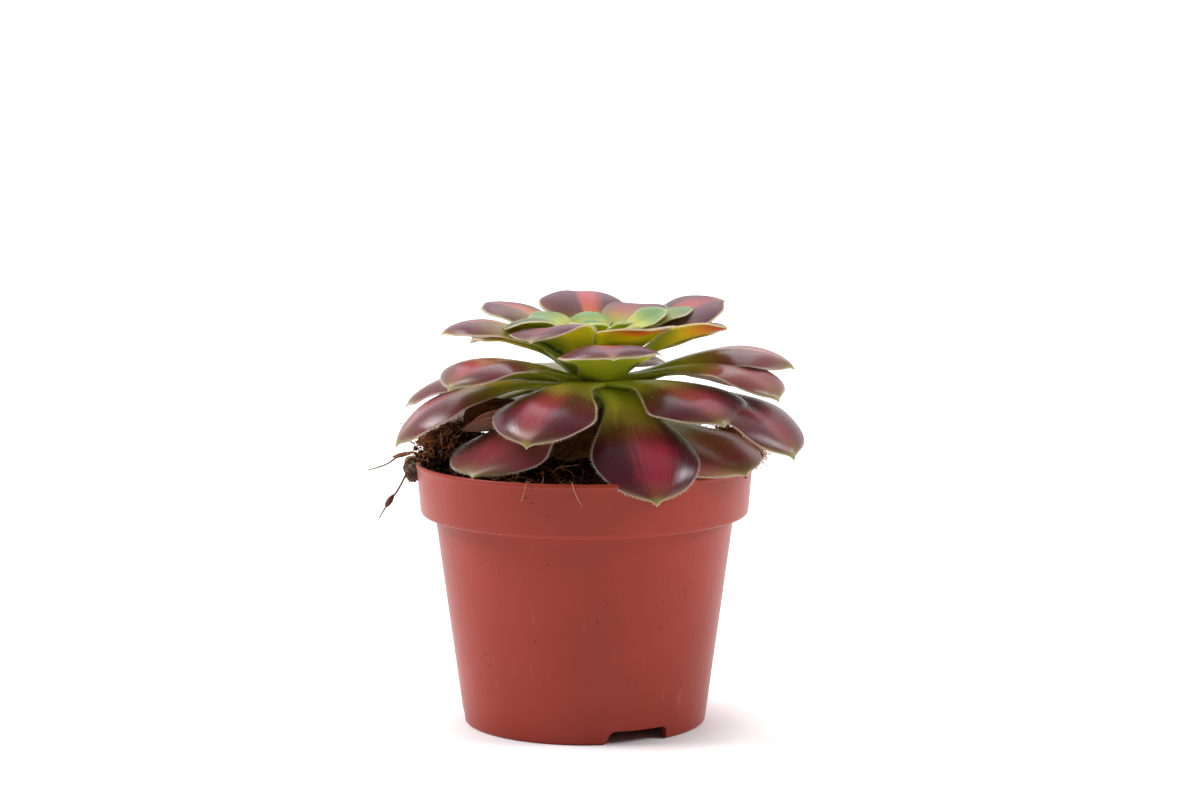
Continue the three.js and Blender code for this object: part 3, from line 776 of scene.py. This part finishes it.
def leaf_finish(name, looks, constants):
    """Waxy leaf skin. Its looks are five colour ramps from neck to tip, then the bloom's and margin's
    colours, the roughness, and how far the red turns, the margin reaches and the stripe spreads."""
    skin = Finish(name, constants)

    def ramp(stops, at):
        return skin.node("ValToRGB", {"stops": [(p, tone(c)) for p, c in stops]}, {"Fac": at})

    def attribute(name, out=2):
        return skin.node("Attribute", {"attribute_name": name}, None, out)

    along, across, side, rim = (attribute(n) for n in ("along", "across", "side", "rim"))
    tint = attribute("tint", 1)
    red, dark, seed = (skin.node("SeparateXYZ", None, {0: tint}, n) for n in range(3))
    grain = skin.node("CombineXYZ", None, {0: along * 2.2 + seed * 9, 1: across * 9, 2: seed * 31})
    streaks = skin.noise(1.7, 5, grain, 0.6)
    fine = skin.noise(6, 4, grain, 0.6)
    patches = skin.noise(75, 3)
    reach = along + (1 - along.smooth(0.6, 0.95)) * ((streaks - 0.5) * 0.1 + (patches - 0.5) * 0.14)
    spread = abs(across + (seed - 0.5) * 0.3) + (streaks - 0.5) * 0.5 + (patches - 0.5) * 0.4
    middle = (1 - spread.smooth(0.08, looks["stripe"])) * red.smooth(-0.4, 0.9)
    reach = reach + (red - 0.5) * looks["turn"] * (1 - along.smooth(0.55, 0.9))
    top = middle.mix(ramp(looks["edge"], reach), ramp(looks["middle"], reach))
    blade = reach.smooth(0.36, 0.56)
    top = ((1 - dark) * blade).mix(top, ramp(looks["pale"], reach))
    under = (1 - spread.smooth(0.3, 0.85)).mix(ramp(looks["under_edge"], reach), ramp(looks["under"], reach))
    colour = side.smooth(0.3, 0.7).mix(under, top)
    colour = (fine.smooth(0.55, 0.8) * 0.08).mix(colour, tone(looks["bloom"]))
    near = (1 - rim.smooth(0.4, 2.4)) * along.smooth(0.88, 0.96)
    colour = (near * 0.5).mix(colour, tone("8c8a4c"))
    edge = (1 - rim.smooth(0.06, looks["line"])) * along.smooth(0.3, 0.5)
    colour = (edge * 0.8).mix(colour, tone(looks["margin"]))
    skin.drive("Base Color", colour)
    gloss = looks["rough"] + (fine - 0.5) * 0.2 + (patches - 0.5) * 0.2
    skin.drive("Roughness", gloss + edge * 0.2 + (1 - side) * 0.08)
    cells = skin.node("TexVoronoi", None, {"Vector": skin.place, "Scale": 1500.0})
    skin.relief(fine * 0.6 + streaks + cells * 0.3 + patches, 0.00007)
    return skin.material


lower_skin = leaf_finish("leaf_lower_skin", {
    "middle": [(0.0, "aec22c"), (0.4, "b0ae38"), (0.52, "9c8438"), (0.61, "843a30"), (0.7, "8c2238"),
               (0.86, "862434"), (0.94, "743c2c"), (0.98, "85803c"), (1.0, "b5b06c")],
    "edge": [(0.0, "aec22c"), (0.38, "a4a23a"), (0.5, "786a2e"), (0.58, "481c1c"), (0.66, "3a0c1c"),
             (0.86, "3c0e20"), (0.95, "542428"), (0.985, "85803c"), (1.0, "b5b06c")],
    "pale": [(0.0, "aec22c"), (0.48, "9c9a48"), (0.62, "b46c54"), (0.85, "ba6460"), (1.0, "a8a25c")],
    "under": [(0.0, "aec22c"), (0.48, "b4b040"), (0.65, "a07a3c"), (0.85, "8c4a40"), (1.0, "9a8a58")],
    "under_edge": [(0.0, "aec22c"), (0.48, "a09c3c"), (0.65, "744a30"), (0.85, "5c242e"), (1.0, "9a8a58")],
    "bloom": "7a5a64", "margin": "b09a84", "rough": 0.24, "turn": 0.06, "line": 0.5, "stripe": 0.6,
}, {"Specular IOR Level": 0.38, "Subsurface Weight": 0.15, "Subsurface Scale": 0.002,
    "Subsurface Radius": (1.0, 0.35, 0.2)})
upper_skin = leaf_finish("leaf_upper_skin", {
    "middle": [(0.0, "8fa51c"), (0.42, "a9b030"), (0.55, "c08a34"), (0.66, "b84c34"), (0.8, "a03440"),
               (0.92, "6c2a3a"), (1.0, "b9a080")],
    "edge": [(0.0, "7c9a28"), (0.42, "86983c"), (0.54, "7c5a34"), (0.64, "501d34"), (0.85, "461434"),
             (0.95, "5c2c42"), (1.0, "b9a080")],
    "pale": [(0.0, "8fa51c"), (0.5, "9aa840"), (0.66, "a88c40"), (0.85, "84484a"), (1.0, "b9a080")],
    "under": [(0.0, "a4b01c"), (0.42, "b0b424"), (0.68, "d8c424"), (0.82, "de9428"), (0.93, "c05c38"),
              (1.0, "84403e")],
    "under_edge": [(0.0, "a4b01c"), (0.55, "a4b028"), (0.76, "b8a430"), (0.9, "a8603c"), (1.0, "6a3a42")],
    "bloom": "906e78", "margin": "d0bea2", "rough": 0.36, "turn": 0.28, "line": 0.6, "stripe": 0.45,
}, {"Specular IOR Level": 0.36, "Subsurface Weight": 0.6, "Subsurface Scale": 0.007,
    "Subsurface Radius": (1.0, 0.8, 0.2)})
inner_skin = leaf_finish("leaf_inner_skin", {
    "middle": [(0.0, "b4b810"), (0.4, "bcbc28"), (0.54, "b08430"), (0.68, "843c38"), (1.0, "c0b08c")],
    "edge": [(0.0, "88a034"), (0.38, "7c9a3c"), (0.5, "74603c"), (0.64, "521f30"), (0.93, "522a38"),
             (1.0, "c0b08c")],
    "pale": [(0.0, "b8bc14"), (0.45, "c4c23c"), (0.62, "869c44"), (0.75, "6a8c48"), (0.93, "6a8c50"),
             (1.0, "c4c498")],
    "under": [(0.0, "9cb41c"), (0.5, "a8bc24"), (0.75, "c4a82c"), (0.9, "8ca044"), (1.0, "a0ac70")],
    "under_edge": [(0.0, "9cb41c"), (0.5, "8cac2c"), (0.8, "80a050"), (1.0, "a0ac70")],
    "bloom": "98b088", "margin": "d4d0a8", "rough": 0.42, "turn": 0.1, "line": 0.8, "stripe": 0.6,
}, {"Specular IOR Level": 0.4, "Subsurface Weight": 0.5, "Subsurface Scale": 0.005,
    "Subsurface Radius": (0.9, 1.0, 0.3)})

hair = Finish("leaf_fringe_hair", {"Roughness": 0.5, "Subsurface Weight": 0.2, "Subsurface Scale": 0.0003})
hair.drive("Base Color", hair.noise(600, 2).smooth(0.3, 0.7).mix(tone("c9b79a"), tone("ece2cf")))

draw = random.Random(23)
for tier, skin, slot in (
    (LOWER_LEAVES, lower_skin, "leaf_lower"),
    (UPPER_LEAVES, upper_skin, "leaf_upper"),
    (INNER_LEAVES, inner_skin, "leaf_inner"),
):
    for row in tier:
        leaf = Leaf(row)
        piece = leaf_mesh(leaf)
        piece.data.materials.append(skin)
        hairs = fringe(leaf, draw)
        hairs.data.materials.append(hair.material)
        only(piece, hairs)
        bpy.ops.object.join()
        smoothed(piece)
        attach(piece, "root")
        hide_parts(leaf.name)

# ------------------------------------------------------------------ dead leaves
# Four lowest leaves have died and dried where they hang: thin, dull brown, wrinkled and curled up at
# the edges, still held by their necks to the stem.

DRY_LEAVES = [
    ("dry_leaf_left", 203, 5, 114, 49, 26, (-14, -11, 6), 0, 0, 0.75, 0.3, 0, 0),
    ("dry_leaf_front", 256, 5, 112, 40, 22, (-36, -22, 10), 10, 0, 0.35, 0.3, 0, 0),
    ("dry_leaf_right", 306, 5, 112, 34, 12, (-36, -30, -12), 0, 0, 0.4, 0.35, 0, 0),
    ("dry_leaf_rear", 95, 5, 110, 36, 20, (-50, -30, 10), 0, 0, 0.4, 0.3, 0, 0),
]
DRY_BROWN, DRY_TAN, DRY_BLOTCH = "6a3222", "a26648", "341a12"

dry = Finish("dry_leaf_skin", {"Specular IOR Level": 0.3, "Sheen Weight": 0.1})
grain = dry.node("CombineXYZ", None, {
    0: dry.node("Attribute", {"attribute_name": "along"}, None, 2) * 2,
    1: dry.node("Attribute", {"attribute_name": "across"}, None, 2) * 8})
veins = dry.noise(2, 5, grain, 0.6)
blotch = dry.noise(110, 4)
colour = veins.smooth(0.35, 0.65).mix(tone(DRY_BROWN), tone(DRY_TAN))
colour = (blotch.smooth(0.5, 0.72) * 0.55).mix(colour, tone(DRY_BLOTCH))
dry.drive("Base Color", colour)
dry.drive("Roughness", 0.55 + blotch * 0.3)
dry.relief(veins * 2 + blotch, 0.0008)
for row in DRY_LEAVES:
    leaf = Leaf(row, flesh=0.45, ripple=1.3)
    piece = smoothed(leaf_mesh(leaf))
    piece.data.materials.append(dry.material)
    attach(piece, "root")
    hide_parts(leaf.name)
bpy.data.objects.remove(blank)

# ------------------------------------------------------------------ crumbs on the rim
# A grey clod of peat stuck on the rim at the left, and a clump of coir lying over it at the right with
# its hairs standing out. Both only lie there.

TUFT_COUNT = 260
CLOD_HAIRS = 26
CLOD_DARK, CLOD_GREY, CLOD_BROWN = "2c211b", "83725f", "4a3124"

lump = Finish("clod_peat", {"Specular IOR Level": 0.2})
pits = lump.noise(520, 5, None, 0.65)
colour = pits.smooth(0.35, 0.68).mix(tone(CLOD_DARK), tone(CLOD_GREY))
lump.drive("Base Color", (lump.noise(300, 2).smooth(0.5, 0.7) * 0.8).mix(colour, tone(CLOD_BROWN)))
lump.drive("Roughness", 0.8 + pits * 0.15)
lump.relief(pits, 0.0009)

draw = random.Random(31)
for name, node, centre, size, finish in (
    ("clod_of_peat", "clod_left", (-61, -3, 90.6), (3.2, 3.4, 4.3), lump),
    ("coir_clump", "coir_right", (60.2, -10, 96.2), (2.4, 4.2, 2.2), peat),
):
    bpy.ops.mesh.primitive_ico_sphere_add(subdivisions=4, radius=1)
    clod = fresh(bpy.context.object, name)
    for vertex in clod.data.vertices:
        here = vertex.co.copy()
        bump = 1 + 0.28 * noise.noise(here * 1.7 + Vector(centre))
        bump += 0.2 * noise.noise(here * 4.5) + 0.1 * noise.noise(here * 10)
        vertex.co = Vector([c + h * bump * w for c, h, w in zip(centre, here, size)]) * MM
    smoothed(clod)
    clod.data.materials.append(finish.material)
    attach(clod, "root")
    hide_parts(node)

models = [fibre_model(draw, draw.uniform(3, 8), 0.9, 0.1) for _ in range(8)]
places = []
for _ in range(TUFT_COUNT):
    place = [draw.gauss(61.5, 1.6), draw.gauss(-7, 4), draw.gauss(97.5, 2.2)]
    places.append((draw.randrange(8), lying(draw, *place, draw.uniform(0.6, 1), 1.4)))
for _ in range(CLOD_HAIRS):
    place = [draw.gauss(c, 1.5) for c in (-59.5, -3, 93)]
    places.append((draw.randrange(8), lying(draw, *place, draw.uniform(0.5, 0.9), 1.4)))
tufts = scattered("coir_tufts", models, places)
tufts.data.materials.append(coir.material)
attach(tufts, "root")

# ------------------------------------------------------------------ loose roots
# Dry wiry roots: two with small swellings that hang out over the rim at the left, and fine pale ones
# that lie over the soil and down the front of the collar.

WIRY_DARK, WIRY_BROWN = "4a2a18", "8a5a38"
FINE_BROWN, FINE_PALE = "a9764c", "dcbd98"

wiry = Finish("dry_root", {"Roughness": 0.75, "Specular IOR Level": 0.3})
wiry.drive("Base Color", wiry.noise(260, 4).smooth(0.35, 0.68).mix(tone(WIRY_DARK), tone(WIRY_BROWN)))
pale_root = Finish("pale_root", {"Roughness": 0.6, "Specular IOR Level": 0.3})
pale_root.drive(
    "Base Color", pale_root.noise(200, 3).smooth(0.35, 0.68).mix(tone(FINE_BROWN), tone(FINE_PALE)))

# name, node, points, radii at them, and the swelling's middle and size
HANGING_ROOTS = (
    ("upper_root", "root_upper",
     [(-59, -4, 96), (-61, -4, 96.6), (-65, -5, 95.6), (-70, -6, 92.6), (-76.6, -7, 90.5)],
     [0.34, 0.34, 0.34, 0.28, 0.18], (-64.4, -4.9, 95.8), (2.5, 1.2, 1.2)),
    ("lower_root", "root_lower",
     [(-62.5, -6.6, 90), (-63.5, -7, 88), (-66, -7.6, 83.4), (-69, -8, 79.4), (-72.4, -8.6, 73.8)],
     [0.36, 0.34, 0.34, 0.32, 0.2], (-68.8, -7.9, 79.7), (1.3, 1.1, 2.3)),
)
SWELLING_LEAN = 0.9
for name, node, points, radii, knot, size in HANGING_ROOTS:
    root = strand(name, points, radii, 3)
    bpy.ops.mesh.primitive_ico_sphere_add(subdivisions=3, radius=1)
    swelling = fresh(bpy.context.object, "swelling")
    for vertex in swelling.data.vertices:
        # A ball, leaning with the root and drawn in towards its two ends.
        here = vertex.co.copy()
        bump = 1 + 0.35 * noise.noise(here * 2.2 + Vector(knot)) + 0.15 * noise.noise(here * 6)
        lengthwise = here[size.index(max(size))]
        drawn_in = 0.5 * lengthwise ** 2
        here.x += SWELLING_LEAN * here.z
        narrow = 1 - drawn_in * (1 - abs(lengthwise))
        shares = (narrow, 1 - drawn_in, narrow)
        vertex.co = Vector([c + h * bump * w * n for c, h, w, n in zip(knot, here, size, shares)]) * MM
    only(root, swelling)
    bpy.ops.object.join()
    smoothed(root)
    root.data.materials.append(wiry.material)
    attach(root, "root")
    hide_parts(node)


def down_collar(angle, top, bottom, sway):
    """Points of a fine root that comes over the rim and lies down the outside of the collar."""
    points = [(55.5, top - 1.5), (58.2, top + 0.25), (60.2, top + 0.15)]
    for share in (0.25, 0.5, 0.75, 1):
        height = top + (bottom - top) * share
        points.append((COLLAR_RADIUS + (RIM_RADIUS - COLLAR_RADIUS) * (height - 76) / 17 + 0.35, height))
    found = []
    for index, (radius, height) in enumerate(points):
        around = math.radians(angle + sway * index * index * 0.05)
        found.append((radius * math.cos(around), radius * math.sin(around), height))
    return found


LOOSE_ROOTS = (
    ("hair_root_1", down_collar(251.5, 93.5, 87, -1.2), 0.09),
    ("hair_root_2", down_collar(266, 93.5, 86, 2.0), 0.09),
    ("soil_root_1", [(-11.6, -38, 93), (-9, -40, 96.2), (-5, -41, 97), (-1.5, -41, 97.4)], 0.2),
    ("soil_root_2",
     [(-8, -40, 96), (-5.2, -42, 95.6), (-3.4, -43, 93.2), (-4, -44, 91), (-6.4, -44.4, 91.6)], 0.17),
    ("soil_root_3", [(-24, -48, 90.5), (-20, -49, 91.4), (-16, -50, 91.2), (-12.5, -50, 91)], 0.2),
    ("upright_root", [(-50.5, -8, 96), (-50.3, -8, 99), (-50.6, -8, 104.5)], 0.17),
)
for name, points, radius in LOOSE_ROOTS:
    root = strand(name, points, [radius] * (len(points) - 1) + [radius * 0.5], 2)
    root.data.materials.append(pale_root.material)
    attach(root, "root")

# ------------------------------------------------------------------ studio
# A plain white floor that runs on into a white surround and glows with painted light, dimmed to a painted
# shadow round the pot's foot; a large soft light overhead, one at each side, and the camera nearly level, as
# in the photograph.

FLOOR_SIZE = 8
# how strongly the floor glows: painted light, as the floor is no lamp
FLOOR_PAINTED_LIGHT = 0.9
SURROUND_SEEN = 1.1
SURROUND_FRONT, SURROUND_BACK = 0.13, 1.05
LAMP_TINT = (0.98, 0.96, 1.0)
LAMP_TARGET = Vector((0, 0, 0.08))
FOCAL_LENGTH = 90
SENSOR_WIDTH = 36
CAMERA_PLACE = (0.00549, -1.0543, 0.2428)
CAMERA_TILT = 83.073

bpy.ops.mesh.primitive_plane_add(size=FLOOR_SIZE)
floor = fresh(bpy.context.object, "studio_floor")
board = Finish("floor_white", {"Roughness": 0.9, "Specular IOR Level": 0.1})
board.drive("Base Color", board.noise(1, 2).smooth(0.2, 0.8).mix(tone("f4f4f4"), tone("f6f6f6")))
# Painted light: the floor glows by itself, white behind the plant and far off, grey near the pot.
board.shader.inputs["Emission Strength"].default_value = FLOOR_PAINTED_LIGHT
radius = board.node("VectorMath", {"operation": "LENGTH"}, {0: board.place}, 1)
away = board.node("SeparateXYZ", None, {0: board.place}, 1)
# Painted shadow: the glow is off under the pot's foot and fades back in over the next few centimetres round
# it.
painted_floor_light = radius.smooth(0.042, 0.07).mix(tone("000000"), tone("989898"))
painted_floor_light = away.smooth(0.15, 1.3).mix(painted_floor_light, tone("ffffff"))
board.drive("Emission Color", radius.smooth(0.9, 2.5).mix(painted_floor_light, tone("ffffff")))
floor.data.materials.append(board.material)

# The surround is white to the camera, and lights the plant from behind more than from the front.
scene = bpy.context.scene
world = bpy.data.worlds.new("studio")
scene.world = world
world.use_nodes = True
world_nodes, world_links = world.node_tree.nodes, world.node_tree.links
surround = world_nodes["Background"]
surround.inputs["Color"].default_value = (1, 1, 1, 1)
ray = world_nodes.new("ShaderNodeLightPath")
direction = world_nodes.new("ShaderNodeTexCoord")
split = world_nodes.new("ShaderNodeSeparateXYZ")
depth = world_nodes.new("ShaderNodeMapRange")
for end, depth_there, light in (("Min", -0.5, SURROUND_FRONT), ("Max", 0.5, SURROUND_BACK)):
    depth.inputs["From " + end].default_value = depth_there
    depth.inputs["To " + end].default_value = light
strength = world_nodes.new("ShaderNodeMix")
strength.inputs[3].default_value = SURROUND_SEEN
world_links.new(direction.outputs["Generated"], split.inputs[0])
world_links.new(split.outputs[1], depth.inputs["Value"])
world_links.new(ray.outputs["Is Camera Ray"], strength.inputs[0])
world_links.new(depth.outputs[0], strength.inputs[2])
world_links.new(strength.outputs[0], surround.inputs["Strength"])

for name, place, size, power in (
    ("softbox_above", (0.0, 0.6, 1.0), 0.8, 3.5),
    ("softbox_left", (-0.8, -0.05, 0.85), 0.45, 11),
    ("softbox_right", (0.95, -0.15, 0.65), 0.35, 6),
):
    lamp = bpy.data.lights.new(name, "AREA")
    lamp.size = size
    lamp.energy = power
    lamp.color = LAMP_TINT
    light = bpy.data.objects.new(name, lamp)
    light.location = place
    light.rotation_euler = (LAMP_TARGET - Vector(place)).to_track_quat("-Z", "Y").to_euler()
    light.visible_camera = False
    scene.collection.objects.link(light)

lens = bpy.data.cameras.new("photo_camera")
lens.lens = FOCAL_LENGTH
lens.sensor_width = SENSOR_WIDTH
lens.clip_start = 0.01
camera = bpy.data.objects.new("photo_camera", lens)
camera.location = CAMERA_PLACE
camera.rotation_euler = (math.radians(CAMERA_TILT), 0, 0)
scene.collection.objects.link(camera)
scene.camera = camera
scene.view_settings.view_transform = "Standard"
